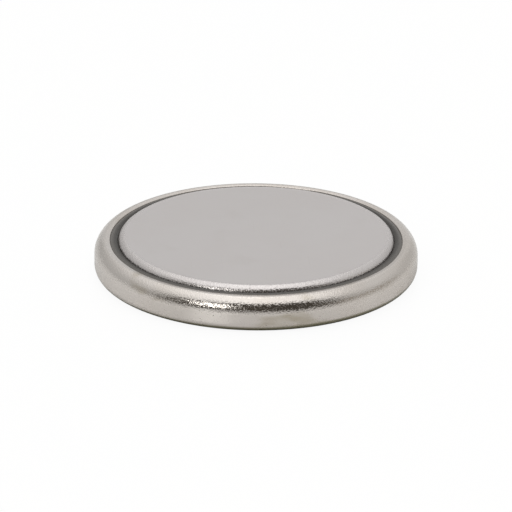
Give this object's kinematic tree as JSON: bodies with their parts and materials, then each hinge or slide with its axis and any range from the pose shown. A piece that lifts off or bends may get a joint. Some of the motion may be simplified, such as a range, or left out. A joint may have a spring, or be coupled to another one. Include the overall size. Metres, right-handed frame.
{
  "type": "lithium coin cell",
  "caption": "Sealed round lithium coin cell: a crimped steel can for the positive side, a stepped steel cap for the negative side and a plastic gasket between them.",
  "frame": {"origin": "middle of the can's flat base, on the surface that the cell lies on", "axes": "+Z along the axis of revolution, from the positive base to the negative cap; X and Y are any two directions across the round cell"},
  "size_m": [0.0244, 0.0244, 0.0029],
  "materials": {
    "can_steel": "nickel-plated stainless steel, satin, finely grained on the drawn and crimped edge",
    "cap_steel": "nickel-clad stainless steel, smooth satin face, finely grained on the bend",
    "gasket_plastic": "dark moulded polypropylene, slightly glossy where the crimp squeezes it out",
    "lithium_metal": "soft rolled lithium foil, dull silver",
    "separator_felt": "non-woven polypropylene felt, matt white",
    "cathode_mix": "pressed manganese dioxide and graphite powder, matt black",
    "collector_steel": "bare stainless steel sheet, dull"
  },
  "bodies": {
    "root": {"positive_can": "can_steel", "negative_cap": "cap_steel", "sealing_gasket": "gasket_plastic", "lithium_anode": "lithium_metal", "separator": "separator_felt", "cathode_pellet": "cathode_mix", "cathode_collector": "collector_steel"}
  },
  "joints": []
}
